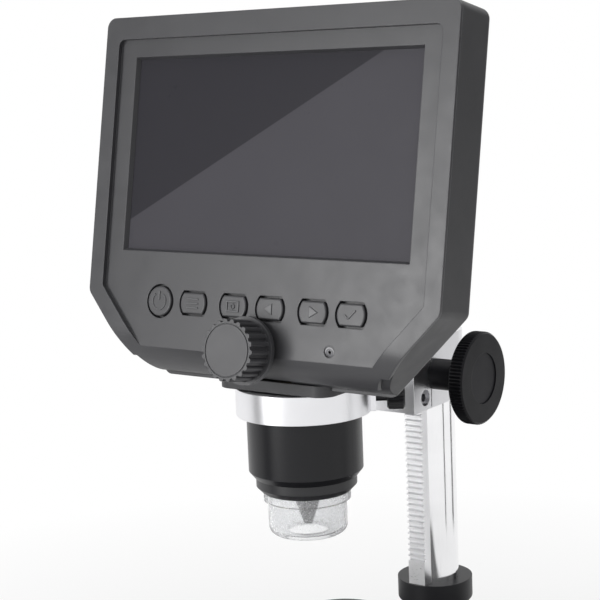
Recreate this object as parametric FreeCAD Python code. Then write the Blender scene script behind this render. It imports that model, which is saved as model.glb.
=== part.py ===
import FreeCAD, Part
import math
import os

# LCD digital microscope on a rack column stand.
# Millimetres. X runs to the right of someone who faces the screen, Y runs
# from the front to the back, Z runs up. The origin lies at the middle of the
# base's underside, on the surface that the stand rests on.

Vector = FreeCAD.Vector

# Base, foot and column
base_width = 110.0
base_depth = 150.0
plate_thickness = 7.0
base_corner_radius = 18.0
base_edge_round = 1.6
pad_thickness = 1.5
pad_inset = 2.0
column_y = 58.9
tube_radius = 8.0
tube_wall = 1.5
tube_top_height = 193.0
foot_radius = 11.2
collar_radius = 12.4
collar_height = 7.5
collar_bottom_round = 1.4
foot_top_height = 29.0
foot_socket_depth = 12.0
rack_socket_depth = 5.0
cap_lip = 1.4
cap_plug_depth = 6.0
foot_bolt_radius = 3.0
foot_bolt_head_radius = 5.0
foot_bolt_head_height = 3.6
foot_bolt_length = 13.0

# Height rack and its pinion
rack_width = 6.0
rack_stand_out = 3.6
rack_seat_depth = 2.0
rack_module = 0.6
rack_plain_end = 8.6
rack_top_gap = 2.5
pinion_teeth = 12
rack_addendum = 0.40
pinion_addendum = 0.55
tooth_root_gap = 0.15
tooth_backlash = 0.10
pressure_angle = 20.0

# Carriage
carriage_half_width = 11.0
carriage_bottom = 90.8
carriage_top = 112.5
carriage_front_y = 30.9
carriage_split_y = 41.2
carriage_split_gap = 0.5
guide_clearance = 0.08
rack_clearance = 0.35
bush_seat_depth = 3.0
strip_width = 3.6
strip_height = 0.35
tongue_half_width = 5.0
tongue_length = 7.0
tongue_height = 6.0
side_screw_radius = 2.6
side_screw_recess = 0.8
side_screw_height = 94.8
pinion_height = 101.3
pinion_shaft_radius = 2.5
shaft_clearance = 0.06
bush_radius = 4.9
bush_seat_radius = 4.0
bush_stand_out = 12.0

# Height knob
knob_outer_x = 28.4
knob_thickness = 4.8
knob_radius = 14.5
knob_knurls = 84
knurl_depth = 0.45
knob_disc_radius = 7.9
knob_disc_recess = 0.35
knob_hub_radius = 4.4
knob_hub_length = 0.5

# Lens clamp ring, its arm and thumb screw
lens_y = -12.6
ring_outer_radius = 19.7
ring_bottom = 100.3
ring_height = 8.2
barrel_radius = 16.8
arm_half_width = 6.0
arm_bottom = 99.1
arm_screw_radius = 1.6
arm_screw_head_radius = 2.8
arm_screw_length = 12.0
arm_screw_head_depth = 7.2
arm_screw_drop = 3.2
thumb_angle = 33.0
thumb_drop = 4.5
thumb_boss_half_width = 3.4
thumb_boss_height = 1.3
thumb_head_radius = 4.0
thumb_head_length = 5.2
thumb_shaft_radius = 1.5
thumb_neck_length = 3.2
thumb_knurls = 24

# Casing, measured in the plane of the screen from the middle of its window:
# u to the right, v up, w out of the front
panel_tilt = 11.0
window_y = -25.0
window_z = 175.5
case_half_width = 60.0
case_top = 40.0
case_side_bottom = -41.0
case_bottom = -64.0
case_bottom_half_width = 39.5
case_front = 3.0
case_back = -14.0
case_wall = 2.0
case_corner_radius = 3.0
front_round_radius = 14.5
back_edge_round = 2.5
bezel_lip = 1.0
bezel_thickness = 2.0
border_width = 5.0
border_top_width = 6.5
recess_depth = 1.5
window_width = 97.0
window_height = 55.5
window_bevel = 0.65
hump_half_width = 24.0
hump_back_y = 7.6
hump_top = 170.0
hump_bottom = 112.3
hump_radius = 6.0
neck_half_width = 19.5
neck_front_y = -29.0
neck_back_y = 6.4
neck_bottom = 108.8
neck_thickness = 3.3
neck_radius = 5.0

# Screen and boards
glass_thickness = 1.2
lcd_width = 101.0
lcd_height = 66.0
lcd_thickness = 2.4
lcd_frame_thickness = 0.8
main_board_width = 96.0
main_board_height = 56.0
board_thickness = 1.2
cover_post_radius = 2.4
cover_screw_radius = 1.2
cover_screw_length = 7.0
cover_screw_head_radius = 2.4
cover_screw_head_height = 1.0
cover_screw_seat_depth = 1.2
battery_width = 54.0
battery_height = 36.0
battery_thickness = 3.4
button_board_width = 80.0
button_board_height = 11.0
button_board_w = -4.6
rack_notch_gap = 0.8
rack_notch_height = 2.1
switch_size = 5.0
switch_height = 1.3
socket_wall_clearance = 0.1
socket_reach = 12.5
# Sockets: (middle up the screen, height, thickness)
usb_socket_size = (18.0, 9.0, 4.0)
power_socket_size = (2.0, 8.0, 4.6)
card_socket_size = (-16.0, 14.0, 2.2)

# Buttons
button_row_v = -42.6
power_button_u = -33.6
power_button_radius = 4.3
pill_names = ("menu_button", "mode_button", "left_button", "right_button", "ok_button")
pill_places_u = (-21.3, -6.9, 5.7, 20.0, 32.3)
pill_radius = 4.5
pill_half_height = 2.95
button_gap = 0.6
button_face_w = 1.9
button_flange = 1.1
button_flange_thickness = 0.8
button_float = 0.1
light_u = 26.1
light_v = -52.8
light_radius = 1.6
light_dot_radius = 0.4

# Focus knob, its shaft and pinion
focus_v = -54.5
focus_knob_face_w = 12.3
focus_knob_base_w = 3.2
focus_knob_radius = 8.6
focus_skirt_radius = 9.5
focus_skirt_thickness = 1.4
focus_ribs = 22
focus_rib_radius = 0.75
focus_groove_radius = 7.1
focus_groove_width = 0.3
focus_groove_depth = 0.25
focus_shaft_radius = 2.0
focus_bush_radius = 3.6
focus_bush_flange_radius = 5.0
focus_bush_length = 4.0
focus_module = 0.5
focus_teeth = 14
focus_rack_addendum = 0.35
focus_pinion_addendum = 0.45
focus_gear_front_w = -6.2
focus_gear_back_w = -9.4

# Lens barrel, nose, lamp ring and clear cap
barrel_top = 115.5
barrel_neck_radius = 14.4
barrel_flange_radius = 16.0
barrel_flange_thickness = 1.6
barrel_straight_bottom = 83.4
barrel_bottom = 81.4
barrel_bottom_radius = 15.2
nose_ring_bottom = 76.9
nose_ring_shoulder = 78.7
nose_ring_top_radius = 14.8
nose_ring_bottom_radius = 13.1
carrier_radius = 12.0
carrier_wall = 1.6
carrier_bottom = 83.0
carrier_top = 126.0
carrier_floor = 2.2
nose_top_radius = 4.2
nose_shoulder_height = 75.4
nose_tip_radius = 1.25
nose_tip_height = 66.6
nose_bore_radius = 0.9
front_lens_radius = 5.0
front_lens_thickness = 2.4
rear_lens_height = 112.0
rear_lens_thickness = 3.0
lamp_board_bottom = 77.6
lamp_board_thickness = 1.2
lamp_board_hole_radius = 5.0
lamp_count = 8
lamp_circle_radius = 7.8
lamp_size = 2.4
lamp_height = 1.0
cap_flange_radius = 12.8
cap_flange_height = 2.6
cap_radius = 11.6
cap_wall = 1.1
cap_bottom = 64.0
cap_mouth_radius = 6.2
cap_round = 2.6
focus_rack_bottom = 113.1
focus_rack_top = 123.6
focus_rack_depth = 4.0
focus_rack_front_y = -29.7
camera_board_size = 20.0
camera_board_height = 138.0
sensor_size = 8.0
sensor_height = 1.2
running_gap = 0.08
seat_gap = 0.05
body_gap = 0.3

# Sizes that follow from those above
plate_top = pad_thickness + plate_thickness
rack_face_y = column_y - tube_radius - rack_stand_out
rack_pitch = math.pi * rack_module
pinion_pitch_radius = rack_module * pinion_teeth / 2
pinion_y = rack_face_y + rack_addendum - pinion_pitch_radius
focus_pitch = math.pi * focus_module
focus_pitch_radius = focus_module * focus_teeth / 2
first_groove_height = foot_top_height + rack_plain_end
ring_top = ring_bottom + ring_height
ring_bore_radius = barrel_radius + running_gap
neck_top = neck_bottom + neck_thickness
thumb_height = ring_top - thumb_drop


def block(x0, x1, y0, y1, z0, z1):
    """A box between two corners."""
    return Part.makeBox(x1 - x0, y1 - y0, z1 - z0, Vector(x0, y0, z0))


def rod(radius, length, start, direction=Vector(0, 0, 1)):
    """A solid cylinder from its start face."""
    return Part.makeCylinder(radius, length, start, direction)


def cone(start_radius, end_radius, length, start, direction=Vector(0, 0, 1)):
    """A solid cone frustum from its start face."""
    return Part.makeCone(start_radius, end_radius, length, start, direction)


def rounded_wire(points, radii):
    """A closed wire through the points, each corner an arc of its radius."""
    count = len(points)
    corners = []
    for index in range(count):
        corner = points[index]
        before = points[index - 1]
        after = points[(index + 1) % count]
        radius = radii[index]
        to_before = (before - corner).normalize()
        to_after = (after - corner).normalize()
        if radius <= 0:
            corners.append((corner, None, corner))
            continue
        half_angle = to_before.getAngle(to_after) / 2
        reach = radius / math.tan(half_angle)
        start = corner + to_before * reach
        end = corner + to_after * reach
        middle_way = (to_before + to_after).normalize()
        middle = corner + middle_way * (radius / math.sin(half_angle) - radius)
        corners.append((start, middle, end))
    edges = []
    for index in range(count):
        start, middle, end = corners[index]
        if middle is not None:
            edges.append(Part.Arc(start, middle, end).toShape())
        following = corners[(index + 1) % count][0]
        if (following - end).Length > 1e-6:
            edges.append(Part.LineSegment(end, following).toShape())
    return Part.Wire(edges)


def plate(points, radii, low, high):
    """A flat plate of a rounded outline in X and Y, between two heights."""
    lifted = [Vector(x, y, low) for x, y in points]
    face = Part.Face(rounded_wire(lifted, radii))
    return face.extrude(Vector(0, 0, high - low))


def rounded_plate(half_x, y0, y1, radius, low, high):
    """A rectangular plate with four round corners."""
    points = [(-half_x, y0), (half_x, y0), (half_x, y1), (-half_x, y1)]
    return plate(points, [radius] * 4, low, high)


def to_panel(shape):
    """Carry a shape from the screen's own axes to the frame."""
    placed = shape.copy()
    placed.rotate(Vector(0, 0, 0), Vector(1, 0, 0), 90 - panel_tilt)
    placed.translate(Vector(0, window_y, window_z))
    return placed


def inset_outline(points, insets):
    """Corners of a convex outline with each side moved in by its own inset."""
    count = len(points)
    sides = []
    for index in range(count):
        start = Vector(points[index][0], points[index][1], 0)
        end = Vector(points[(index + 1) % count][0], points[(index + 1) % count][1], 0)
        along = (end - start).normalize()
        inward = Vector(-along.y, along.x, 0)
        sides.append((start + inward * insets[index], along))
    corners = []
    for index in range(count):
        first_point, first_way = sides[index - 1]
        second_point, second_way = sides[index]
        cross = first_way.x * second_way.y - first_way.y * second_way.x
        gap = second_point - first_point
        reach = (gap.x * second_way.y - gap.y * second_way.x) / cross
        corner = first_point + first_way * reach
        corners.append((corner.x, corner.y))
    return corners


def case_plate(inset, low, high, corner_radius, top_inset=None):
    """A plate of the casing's outline, drawn in on every side."""
    outline = [
        (-case_bottom_half_width, case_bottom),
        (case_bottom_half_width, case_bottom),
        (case_half_width, case_side_bottom),
        (case_half_width, case_top),
        (-case_half_width, case_top),
        (-case_half_width, case_side_bottom),
    ]
    insets = [inset] * 6
    if top_inset is not None:
        insets[3] = top_inset
    return plate(inset_outline(outline, insets), [corner_radius] * 6, low, high)


def chin_solid(depth):
    """The space behind the casing's front face, moved in by a depth.

    The front is flat and turns under the chin in one large round.
    """
    centre_v = case_bottom + front_round_radius
    centre_w = case_front - front_round_radius
    radius = front_round_radius - depth
    half = case_half_width + 1.0
    top = case_top + 1.0
    back = case_back - 1.0
    under = case_bottom - 1.0
    slant = math.sqrt(0.5) * radius
    p_top_back = Vector(-half, top, back)
    p_top_front = Vector(-half, top, case_front - depth)
    p_round_start = Vector(-half, centre_v, case_front - depth)
    p_round_middle = Vector(-half, centre_v - slant, centre_w + slant)
    p_round_end = Vector(-half, centre_v - radius, centre_w)
    p_under_front = Vector(-half, under, centre_w)
    p_under_back = Vector(-half, under, back)
    edges = [
        Part.LineSegment(p_top_back, p_top_front).toShape(),
        Part.LineSegment(p_top_front, p_round_start).toShape(),
        Part.Arc(p_round_start, p_round_middle, p_round_end).toShape(),
        Part.LineSegment(p_round_end, p_under_front).toShape(),
        Part.LineSegment(p_under_front, p_under_back).toShape(),
        Part.LineSegment(p_under_back, p_top_back).toShape(),
    ]
    return Part.Face(Part.Wire(edges)).extrude(Vector(2 * half, 0, 0))


def gear_outline(module, teeth, addendum, root_depth, turned):
    """Corners of a spur pinion with involute flanks, in X and Y."""
    pitch_radius = module * teeth / 2
    base_radius = pitch_radius * math.cos(math.radians(pressure_angle))
    root_radius = pitch_radius - root_depth
    tip_radius = pitch_radius + addendum
    half_tooth = (math.pi * module / 2 - tooth_backlash) / 2 / pitch_radius

    def involute(radius):
        if radius <= base_radius:
            return 0.0
        angle = math.acos(base_radius / radius)
        return math.tan(angle) - angle

    pitch_involute = involute(pitch_radius)
    flank_steps = 5
    flank = []
    for step in range(flank_steps + 1):
        start = max(base_radius, root_radius)
        radius = start + (tip_radius - start) * step / flank_steps
        half = half_tooth + pitch_involute - involute(radius)
        flank.append((radius, half))
    corners = []
    for tooth in range(teeth):
        middle = turned + 2 * math.pi * tooth / teeth
        root_half = flank[0][1]
        side = [(root_radius, -root_half)]
        side += [(radius, -half) for radius, half in flank]
        side += [(radius, half) for radius, half in reversed(flank)]
        side += [(root_radius, root_half)]
        for radius, angle in side:
            corners.append((radius * math.cos(middle + angle), radius * math.sin(middle + angle)))
    return corners


def gear(module, teeth, addendum, root_depth, turned, length):
    """A spur pinion along +Z from the origin."""
    corners = [Vector(x, y, 0) for x, y in gear_outline(module, teeth, addendum, root_depth, turned)]
    wire = Part.makePolygon(corners + [corners[0]])
    return Part.Face(wire).extrude(Vector(0, 0, length))


def rack_groove(module, addendum, mate_addendum):
    """Corners of one groove between rack teeth: (across, depth below the teeth's tips)."""
    lean = math.tan(math.radians(pressure_angle))
    depth = addendum + mate_addendum + tooth_root_gap
    half_pitch_space = (math.pi * module / 2 + tooth_backlash) / 2
    half_mouth = half_pitch_space + addendum * lean
    half_floor = half_pitch_space - (mate_addendum + tooth_root_gap) * lean
    over = 0.5
    half_over = half_mouth + over * lean
    return [(-half_over, -over), (half_over, -over), (half_floor, depth), (-half_floor, depth)]


def knurled(radius, depth, count, length):
    """A cylinder along +Z with V-shaped straight knurls all round."""
    corners = []
    for index in range(count):
        tip = 2 * math.pi * index / count
        root = tip + math.pi / count
        corners.append(Vector(radius * math.cos(tip), radius * math.sin(tip), 0))
        corners.append(Vector((radius - depth) * math.cos(root), (radius - depth) * math.sin(root), 0))
    return Part.Face(Part.makePolygon(corners + [corners[0]])).extrude(Vector(0, 0, length))


def turn_to_x(shape, x, y, z):
    """Lay a shape made along +Z along +X and carry its origin to a point."""
    placed = shape.copy()
    placed.rotate(Vector(0, 0, 0), Vector(0, 1, 0), 90)
    placed.translate(Vector(x, y, z))
    return placed


# Stand


def base_plate():
    body = rounded_plate(base_width / 2, -base_depth / 2, base_depth / 2, base_corner_radius,
                         pad_thickness, plate_top)
    top_edges = [edge for edge in body.Edges if edge.BoundBox.ZMin > plate_top - 0.01]
    body = body.makeFillet(base_edge_round, top_edges)
    bolt_hole = rod(foot_bolt_radius + seat_gap, plate_thickness, Vector(0, column_y, pad_thickness))
    head_hole = rod(foot_bolt_head_radius + body_gap, foot_bolt_head_height, Vector(0, column_y, pad_thickness))
    return body.cut(bolt_hole).cut(head_hole)


def base_pad():
    pad = rounded_plate(base_width / 2 - pad_inset, -base_depth / 2 + pad_inset,
                        base_depth / 2 - pad_inset, base_corner_radius - pad_inset, 0, pad_thickness)
    return pad.cut(rod(foot_bolt_head_radius + body_gap, pad_thickness, Vector(0, column_y, 0)))


def foot_bolt():
    head = rod(foot_bolt_head_radius, foot_bolt_head_height, Vector(0, column_y, pad_thickness))
    shank = rod(foot_bolt_radius, foot_bolt_length, Vector(0, column_y, pad_thickness + foot_bolt_head_height))
    key = rod(foot_bolt_radius * 0.8, foot_bolt_head_height / 2, Vector(0, column_y, pad_thickness))
    return head.fuse(shank).cut(key).removeSplitter()


def column_foot():
    foot = rod(foot_radius, foot_top_height - plate_top, Vector(0, column_y, plate_top))
    collar = rod(collar_radius, collar_height, Vector(0, column_y, foot_top_height - collar_height))
    low = foot_top_height - collar_height + 0.01
    lower_edges = [edge for edge in collar.Edges if edge.BoundBox.ZMax < low]
    collar = collar.makeFillet(collar_bottom_round * 0.7, lower_edges)
    body = foot.fuse(collar)
    socket = rod(tube_radius, foot_socket_depth, Vector(0, column_y, foot_top_height - foot_socket_depth))
    rack_socket = block(-rack_width / 2, rack_width / 2, rack_face_y, column_y,
                        foot_top_height - rack_socket_depth, foot_top_height)
    bolt_hole = rod(foot_bolt_radius, foot_top_height, Vector(0, column_y, plate_top))
    return body.cut(socket).cut(rack_socket).cut(bolt_hole)


def column_tube():
    low = foot_top_height - foot_socket_depth
    tube = rod(tube_radius, tube_top_height - low, Vector(0, column_y, low))
    tube = tube.cut(rod(tube_radius - tube_wall, tube_top_height - low, Vector(0, column_y, low)))
    seat = block(-rack_width / 2, rack_width / 2, rack_face_y, column_y - tube_radius + rack_seat_depth,
                 foot_top_height - rack_socket_depth, tube_top_height)
    return tube.cut(seat)


def rack_bar():
    low = foot_top_height - rack_socket_depth
    high = tube_top_height
    back = column_y - tube_radius + rack_seat_depth
    bar = block(-rack_width / 2, rack_width / 2, rack_face_y, back, low, high)
    corners = rack_groove(rack_module, rack_addendum, pinion_addendum)
    count = int((high - rack_top_gap - first_groove_height) / rack_pitch)
    grooves = []
    for index in range(count + 1):
        height = first_groove_height + index * rack_pitch
        points = [Vector(-rack_width, rack_face_y + deep, height + across) for across, deep in corners]
        face = Part.Face(Part.makePolygon(points + [points[0]]))
        grooves.append(face.extrude(Vector(2 * rack_width, 0, 0)))
    return bar.cut(Part.makeCompound(grooves))


def column_cap():
    head = rod(tube_radius, cap_lip, Vector(0, column_y, tube_top_height))
    head = head.makeFillet(cap_lip * 0.6, [edge for edge in head.Edges
                                           if edge.BoundBox.ZMin > tube_top_height + cap_lip - 0.01])
    plug = rod(tube_radius - tube_wall, cap_plug_depth, Vector(0, column_y, tube_top_height - cap_plug_depth))
    room = block(-rack_width / 2, rack_width / 2, rack_face_y,
                 column_y - tube_radius + rack_seat_depth, tube_top_height - cap_plug_depth, tube_top_height)
    return head.fuse(plug).cut(room).removeSplitter()


# Carriage


def column_bore(low, high):
    """The room that the carriage leaves for the tube and the rack bar."""
    bore = rod(tube_radius + guide_clearance, high - low, Vector(0, column_y, low))
    rack_room = block(-rack_width / 2 - rack_clearance, rack_width / 2 + rack_clearance,
                      rack_face_y - rack_clearance, column_y, low, high)
    return bore.fuse(rack_room)


def pinion_room(x0, x1):
    """The room round the pinion inside the carriage."""
    radius = pinion_pitch_radius + pinion_addendum + body_gap
    return rod(radius, x1 - x0, Vector(x0, pinion_y, pinion_height), Vector(1, 0, 0))


def bush_seat():
    """The round seat of the bush in the carriage's right side."""
    start = Vector(carriage_half_width - bush_seat_depth, pinion_y, pinion_height)
    return rod(bush_seat_radius, bush_seat_depth, start, Vector(1, 0, 0))


def carriage_tongue(extra):
    """The tongue that joins the carriage's two blocks, or its pocket."""
    return block(-tongue_half_width - extra, tongue_half_width + extra,
                 carriage_split_y - tongue_length - extra, carriage_split_y + 2.0,
                 carriage_bottom + 2.0 - extra, carriage_bottom + 2.0 + tongue_height + extra)


def side_screw_holes(radius):
    """Bores for the two side screws, one from each side."""
    y = carriage_split_y - tongue_length / 2
    span = carriage_half_width - tongue_half_width
    right = rod(radius, span, Vector(tongue_half_width, y, side_screw_height), Vector(1, 0, 0))
    left = rod(radius, span, Vector(-tongue_half_width, y, side_screw_height), Vector(-1, 0, 0))
    return right, left


def carriage_body():
    low, high = carriage_bottom, carriage_top
    half = carriage_half_width
    front = carriage_split_y + carriage_split_gap
    body = block(-half, half, front, column_y, low, high)
    body = body.fuse(rod(half, high - low, Vector(0, column_y, low)))
    tongue = carriage_tongue(0).cut(block(-half, half, front + 3.0, front + 9.0, low, high))
    body = body.fuse(tongue)
    body = body.cut(column_bore(low, high))
    body = body.cut(pinion_room(-half + bush_seat_depth, half - bush_seat_depth))
    body = body.cut(rod(pinion_shaft_radius + shaft_clearance, 2 * half,
                        Vector(-half, pinion_y, pinion_height), Vector(1, 0, 0)))
    seat = bush_seat()
    return body.cut(seat).removeSplitter()


def carriage_block():
    low, high = carriage_bottom, carriage_top
    half = carriage_half_width
    body = block(-half, half, carriage_front_y + strip_height, carriage_split_y, low, high)
    for side in (-1, 1):
        outer = side * half
        inner = side * (half - strip_width)
        strip = block(min(outer, inner), max(outer, inner), carriage_front_y,
                      carriage_front_y + 2 * strip_height, low, high)
        body = body.fuse(strip)
    body = body.removeSplitter()
    body = body.cut(carriage_tongue(seat_gap))
    body = body.cut(pinion_room(-half + bush_seat_depth, half - bush_seat_depth))
    body = body.cut(bush_seat())
    for hole in side_screw_holes(side_screw_radius):
        body = body.cut(hole)
    for x, z in arm_screw_places():
        body = body.cut(rod(arm_screw_radius, carriage_split_y, Vector(x, carriage_front_y, z), Vector(0, 1, 0)))
        body = body.cut(rod(arm_screw_head_radius + seat_gap, arm_screw_head_depth,
                            Vector(x, carriage_split_y - arm_screw_head_depth, z), Vector(0, 1, 0)))
    return body


def arm_screw_places():
    """Where the arm's screws run, across and up."""
    height = ring_top - arm_screw_drop
    return ((-arm_half_width / 2 - 0.4, height), (arm_half_width / 2 + 0.4, height))


def arm_screws():
    screws = []
    for x, z in arm_screw_places():
        head_start = carriage_split_y - arm_screw_head_depth
        head = rod(arm_screw_head_radius, 3.0, Vector(x, head_start, z), Vector(0, 1, 0))
        head = head.cut(rod(arm_screw_radius * 0.8, 1.5, Vector(x, head_start + 1.5, z), Vector(0, 1, 0)))
        shank = rod(arm_screw_radius, arm_screw_length, Vector(x, head_start - arm_screw_length, z),
                    Vector(0, 1, 0))
        screws.append(head.fuse(shank).removeSplitter())
    return Part.makeCompound(screws)


def side_screws():
    screws = []
    for hole in side_screw_holes(side_screw_radius):
        box = hole.BoundBox
        side = 1 if box.Center.x > 0 else -1
        start = Vector(side * tongue_half_width, box.Center.y, box.Center.z)
        length = carriage_half_width - tongue_half_width - side_screw_recess
        screw = rod(side_screw_radius, length, start, Vector(side, 0, 0))
        socket_start = start + Vector(side * (length - 1.6), 0, 0)
        screws.append(screw.cut(rod(side_screw_radius * 0.5, 1.6, socket_start, Vector(side, 0, 0))))
    return Part.makeCompound(screws)


def pinion_bush():
    half = carriage_half_width
    seat = bush_seat()
    boss = rod(bush_radius, bush_stand_out, Vector(half, pinion_y, pinion_height), Vector(1, 0, 0))
    outer = half + bush_stand_out - 0.01
    boss = boss.makeFillet(0.5, [edge for edge in boss.Edges if edge.BoundBox.XMin > outer])
    body = seat.fuse(boss)
    return body.cut(rod(pinion_shaft_radius + shaft_clearance, half + bush_stand_out,
                        Vector(half - bush_seat_depth, pinion_y, pinion_height), Vector(1, 0, 0))).removeSplitter()


def clamp_ring():
    centre = Vector(0, lens_y, ring_bottom)
    ring = rod(ring_outer_radius, ring_height, centre)
    arm = block(-arm_half_width, arm_half_width, lens_y, carriage_front_y + strip_height, arm_bottom, ring_top)
    arm = arm.cut(rod(ring_outer_radius, ring_bottom - arm_bottom, Vector(0, lens_y, arm_bottom)))
    pad_half = carriage_half_width - strip_width - seat_gap
    pad = block(-pad_half, pad_half, carriage_front_y - 2.6, carriage_front_y + strip_height,
                arm_bottom, carriage_top)
    boss = block(0, ring_outer_radius + thumb_boss_height, -thumb_boss_half_width, thumb_boss_half_width,
                 0, ring_height)
    boss.rotate(Vector(0, 0, 0), Vector(0, 0, 1), thumb_angle)
    boss.translate(centre)
    body = ring.fuse([arm, pad, boss])
    body = body.cut(rod(ring_bore_radius, ring_height, centre))
    body = body.cut(thumb_rod(thumb_shaft_radius + shaft_clearance, 0, ring_outer_radius + 5.0))
    for x, z in arm_screw_places():
        start = carriage_split_y - arm_screw_head_depth - arm_screw_length
        body = body.cut(rod(arm_screw_radius, arm_screw_length, Vector(x, start, z), Vector(0, 1, 0)))
    return body.removeSplitter()


# Height knob, pinion shaft and thumb screw


def height_knob():
    inner_x = knob_outer_x - knob_thickness
    body = turn_to_x(knurled(knob_radius, knurl_depth, knob_knurls, knob_thickness), inner_x, pinion_y,
                     pinion_height)
    bevel = 0.7
    axis = Vector(1, 0, 0)
    start = Vector(inner_x, pinion_y, pinion_height)
    envelope = cone(knob_radius - bevel, knob_radius, bevel, start, axis)
    envelope = envelope.fuse(rod(knob_radius, knob_thickness - 2 * bevel, start + axis * bevel, axis))
    envelope = envelope.fuse(cone(knob_radius, knob_radius - bevel, bevel,
                                  start + axis * (knob_thickness - bevel), axis))
    body = body.common(envelope)
    disc_seat = rod(knob_disc_radius, 1.2, Vector(knob_outer_x - 1.2, pinion_y, pinion_height), axis)
    shaft_seat = rod(pinion_shaft_radius, knob_thickness, start, axis)
    hub = rod(knob_hub_radius, knob_hub_length, Vector(inner_x - knob_hub_length, pinion_y, pinion_height), axis)
    hub = hub.cut(rod(pinion_shaft_radius, knob_hub_length,
                      Vector(inner_x - knob_hub_length, pinion_y, pinion_height), axis))
    return body.cut(disc_seat).cut(shaft_seat).fuse(hub).removeSplitter()


def knob_disc():
    thickness = 1.2 - knob_disc_recess
    return rod(knob_disc_radius, thickness, Vector(knob_outer_x - 1.2, pinion_y, pinion_height), Vector(1, 0, 0))


def pinion_shaft():
    groove_number = round((pinion_height - first_groove_height) / rack_pitch)
    groove_height = first_groove_height + groove_number * rack_pitch
    turned = math.pi / 2 + (groove_height - pinion_height) / pinion_pitch_radius
    root_depth = rack_addendum + tooth_root_gap
    teeth = gear(rack_module, pinion_teeth, pinion_addendum, root_depth, turned, rack_width + 1.0)
    teeth.rotate(Vector(0, 0, 0), Vector(0, 1, 0), 90)
    teeth.translate(Vector(-rack_width / 2 - 0.5, pinion_y, pinion_height))
    left = -carriage_half_width + 0.5
    shaft = rod(pinion_shaft_radius, knob_outer_x - 1.2 - left, Vector(left, pinion_y, pinion_height),
                Vector(1, 0, 0))
    return shaft.fuse(teeth).removeSplitter()


def thumb_rod(radius, start, end):
    """A rod that runs out from the lens axis along the thumb screw."""
    angle = math.radians(thumb_angle)
    way = Vector(math.cos(angle), math.sin(angle), 0)
    return rod(radius, end - start, Vector(0, lens_y, thumb_height) + way * start, way)


def thumb_screw():
    head_start = ring_outer_radius + thumb_boss_height + thumb_neck_length
    head = knurled(thumb_head_radius, 0.35, thumb_knurls, thumb_head_length)
    bevel = 0.6
    envelope = cone(thumb_head_radius - bevel, thumb_head_radius, bevel, Vector(0, 0, 0))
    envelope = envelope.fuse(rod(thumb_head_radius, thumb_head_length - 2 * bevel, Vector(0, 0, bevel)))
    envelope = envelope.fuse(cone(thumb_head_radius, thumb_head_radius - bevel, bevel,
                                  Vector(0, 0, thumb_head_length - bevel)))
    head = head.common(envelope)
    head.rotate(Vector(0, 0, 0), Vector(0, 1, 0), 90)
    head.rotate(Vector(0, 0, 0), Vector(0, 0, 1), thumb_angle)
    angle = math.radians(thumb_angle)
    head.translate(Vector(head_start * math.cos(angle), lens_y + head_start * math.sin(angle), thumb_height))
    shank = thumb_rod(thumb_shaft_radius, barrel_radius + body_gap, head_start + 1.0)
    return head.fuse(shank).removeSplitter()


# Casing


def case_solid():
    body = case_plate(0, case_back, case_front, case_corner_radius)
    back_edges = [edge for edge in body.Edges if edge.BoundBox.ZMax < case_back + 0.01]
    return body.makeFillet(back_edge_round, back_edges).common(chin_solid(0))


def wall_band():
    """The casing's side walls up to the parting line, with the closed back."""
    band = case_solid().common(chin_solid(bezel_lip))
    hollow = case_plate(case_wall, case_back + case_wall, case_front + 1, case_corner_radius - 1)
    return band.cut(hollow)


def neck_plate():
    """The plate under the casing that rests on the clamp ring."""
    return rounded_plate(neck_half_width, neck_front_y, neck_back_y, neck_radius, neck_bottom, neck_top)


def behind_case():
    """All that lies behind the casing's back, with the neck plate."""
    reach = 400
    behind = Part.makeBox(reach, reach, reach, Vector(-reach / 2, -reach / 2, case_back - reach))
    return to_panel(behind).fuse(neck_plate())


def rear_cover():
    return closed_back().cut(behind_case())


def rear_housing():
    return closed_back().common(behind_case())


def closed_back():
    """The back cover and the housing behind it, before they are parted."""
    band = to_panel(wall_band())
    hump = rounded_plate(hump_half_width, window_y - 8.0, hump_back_y, hump_radius, hump_bottom, hump_top)
    top_edges = [edge for edge in hump.Edges if edge.BoundBox.ZMin > hump_top - 0.01]
    hump = hump.makeFillet(hump_radius - 1.0, top_edges)
    front_side = to_panel(Part.makeBox(400, 400, 400, Vector(-200, -200, case_back + case_wall)))
    hump = hump.cut(front_side)
    body = band.fuse([hump, neck_plate()])
    cavity = rounded_plate(hump_half_width - case_wall, window_y - 20.0, hump_back_y - case_wall,
                           hump_radius - case_wall, neck_top, hump_top - case_wall)
    inner_case = to_panel(case_plate(case_wall, case_back - 40, case_front - bezel_lip - 1, case_corner_radius - 1))
    body = body.cut(cavity.common(inner_case))
    body = body.cut(rod(barrel_neck_radius + seat_gap, 20.0, Vector(0, lens_y, neck_bottom - 5.0)))
    body = body.cut(focus_room())
    for socket in socket_blocks(socket_wall_clearance):
        body = body.cut(to_panel(socket))
    for u, v in cover_screw_places():
        way = rod(cover_screw_radius + 0.3, case_wall + 1, Vector(u, v, case_back - 0.5))
        seat = rod(cover_screw_head_radius + 0.2, cover_screw_seat_depth, Vector(u, v, case_back))
        body = body.cut(to_panel(way)).cut(to_panel(seat))
    return body


def cover_screw_places():
    """Where the back cover's screws stand, in the screen's axes."""
    reach_u = case_half_width - case_wall - cover_post_radius - body_gap
    return ((-reach_u, case_top - 7.0), (reach_u, case_top - 7.0), (-reach_u, -36.0), (reach_u, -36.0))


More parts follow.
